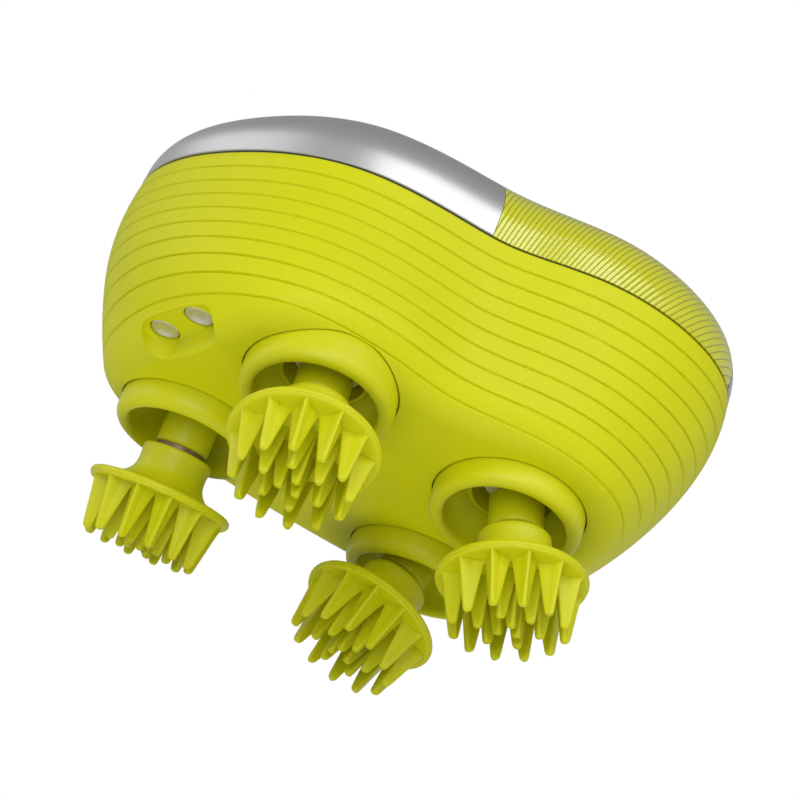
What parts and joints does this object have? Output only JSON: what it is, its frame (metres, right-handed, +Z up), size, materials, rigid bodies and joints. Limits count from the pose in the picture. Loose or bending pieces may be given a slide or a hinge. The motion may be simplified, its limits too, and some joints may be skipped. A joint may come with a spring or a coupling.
{
  "type": "electric scalp massager",
  "caption": "Handheld electric scalp massager with a bean shaped body, a silver cover and silicone heads whose soft fingers knead on leaning crank pins.",
  "frame": {"origin": "on the plane that the lowest finger tips stand on, under the middle of the body", "axes": "+Z up through the silver cover, +X along the body's length towards the wider end, -Y towards the side with the waist"},
  "size_m": [0.1316, 0.1002, 0.0934],
  "materials": {
    "lime_shell": "soft touch lime green paint on ABS, fine satin grain",
    "silver_paint": "satin silver metallic paint on ABS",
    "lime_gloss": "glossy lime green with fine parallel ribs",
    "lime_silicone": "satin lime green silicone rubber",
    "dark_seal": "dark grey sealing strip",
    "nickel": "nickel plated, slightly worn",
    "steel": "plain steel, turned",
    "bronze": "dark bronze, turned",
    "brass": "turned brass",
    "white_gear": "natural white acetal",
    "grey_plastic": "moulded dark grey ABS",
    "black_plastic": "moulded black plastic",
    "board_green": "green solder mask on glass fibre",
    "battery_can": "steel can in a blue shrink sleeve",
    "lamp_lens": "clear light pipe"
  },
  "bodies": {
    "case": {"lower_housing": "lime_shell", "top_cover": "silver_paint", "ribbed_panel": "lime_gloss", "parting_seal": "dark_seal", "circuit_board": "board_green", "tact_switch": "black_plastic", "charge_lamp": "lamp_lens", "button_spring": "steel", "battery": "battery_can", "battery_cradle": "grey_plastic", "motor_case": "steel", "relay_spindle": "steel", "sun_spindle": "steel", "output_plate": "grey_plastic", "gear_deck": "grey_plastic", "charging_contacts": "nickel", "contact_block": "black_plastic", "plate_screws": "steel", "deck_screws": "steel", "board_screws": "steel", "cover_screws": "steel", "output_bush_1": "brass", "output_bush_2": "brass", "output_bush_3": "brass", "output_bush_4": "brass", "collar_1": "lime_shell", "collar_2": "lime_shell", "collar_3": "lime_shell", "collar_4": "lime_shell"},
    "power_button": {"power_button": "silver_paint"},
    "motor_rotor": {"motor_rotor": "brass"},
    "relay": {"relay_gear": "white_gear"},
    "sun": {"sun_gear": "white_gear"},
    "crank_1": {"output_gear_1": "white_gear", "crank_pin_1": "bronze", "pin_screw_1": "steel", "spacer_sleeve_1": "lime_shell"},
    "head_1": {"massage_head_1": "lime_silicone", "head_core_1": "black_plastic"},
    "crank_2": {"output_gear_2": "white_gear", "crank_pin_2": "bronze", "pin_screw_2": "steel", "spacer_sleeve_2": "lime_shell"},
    "head_2": {"massage_head_2": "lime_silicone", "head_core_2": "black_plastic"},
    "crank_3": {"output_gear_3": "white_gear", "crank_pin_3": "bronze", "pin_screw_3": "steel", "spacer_sleeve_3": "lime_shell"},
    "head_3": {"massage_head_3": "lime_silicone", "head_core_3": "black_plastic"},
    "crank_4": {"output_gear_4": "white_gear", "crank_pin_4": "bronze", "pin_screw_4": "steel", "spacer_sleeve_4": "lime_shell"},
    "head_4": {"massage_head_4": "lime_silicone", "head_core_4": "black_plastic"}
  },
  "joints": [
    {"name": "sun_turn", "type": "hinge", "parent": "case", "child": "sun", "pos_m": [-0.0013, 0.003, 0.04348], "axis": [0, 0, 1], "continuous": true},
    {"name": "relay_turn", "type": "hinge", "parent": "case", "child": "relay", "pos_m": [0.0242, 0.003, 0.05438], "axis": [0, 0, 1], "continuous": true},
    {"name": "rotor_turn", "type": "hinge", "parent": "case", "child": "motor_rotor", "pos_m": [0.0422, 0.003, 0.05438], "axis": [0, 0, 1], "continuous": true},
    {"name": "crank_1_turn", "type": "hinge", "parent": "case", "child": "crank_1", "pos_m": [-0.0319, 0.021, 0.03818], "axis": [0, 0, 1], "continuous": true},
    {"name": "head_1_turn", "type": "hinge", "parent": "crank_1", "child": "head_1", "pos_m": [-0.0319, 0.021, 0.03818], "axis": [-0.0891, -0.2573, 0.9622], "continuous": true},
    {"name": "crank_2_turn", "type": "hinge", "parent": "case", "child": "crank_2", "pos_m": [-0.0258, -0.02269, 0.03818], "axis": [0, 0, 1], "continuous": true},
    {"name": "head_2_turn", "type": "hinge", "parent": "crank_2", "child": "head_2", "pos_m": [-0.0258, -0.02269, 0.03818], "axis": [0.037, 0.2698, 0.9622], "continuous": true},
    {"name": "crank_3_turn", "type": "hinge", "parent": "case", "child": "crank_3", "pos_m": [0.0293, 0.021, 0.03818], "axis": [0, 0, 1], "continuous": true},
    {"name": "head_3_turn", "type": "hinge", "parent": "crank_3", "child": "head_3", "pos_m": [0.0293, 0.021, 0.03818], "axis": [0.2713, -0.0228, 0.9622], "continuous": true},
    {"name": "crank_4_turn", "type": "hinge", "parent": "case", "child": "crank_4", "pos_m": [0.0232, -0.02269, 0.03818], "axis": [0, 0, 1], "continuous": true},
    {"name": "head_4_turn", "type": "hinge", "parent": "crank_4", "child": "head_4", "pos_m": [0.0232, -0.02269, 0.03818], "axis": [-0.1804, 0.2039, 0.9622], "continuous": true},
    {"name": "button_press", "type": "slide", "parent": "case", "child": "power_button", "axis": [0, 0, -1], "range_m": [0, 0.001], "stiffness_N_per_m": 800, "springref_m": -0.0015, "deforming": ["button_spring"]}
  ],
  "couplings": [
    {"joint": "relay_turn", "follows": "sun_turn", "ratio": -4.1},
    {"joint": "rotor_turn", "follows": "sun_turn", "ratio": 20.5},
    {"joint": "crank_1_turn", "follows": "sun_turn", "ratio": -1.3667},
    {"joint": "head_1_turn", "follows": "sun_turn", "ratio": 1.3667},
    {"joint": "crank_2_turn", "follows": "sun_turn", "ratio": -1.3667},
    {"joint": "head_2_turn", "follows": "sun_turn", "ratio": 1.3667},
    {"joint": "crank_3_turn", "follows": "sun_turn", "ratio": -1.3667},
    {"joint": "head_3_turn", "follows": "sun_turn", "ratio": 1.3667},
    {"joint": "crank_4_turn", "follows": "sun_turn", "ratio": -1.3667},
    {"joint": "head_4_turn", "follows": "sun_turn", "ratio": 1.3667}
  ]
}
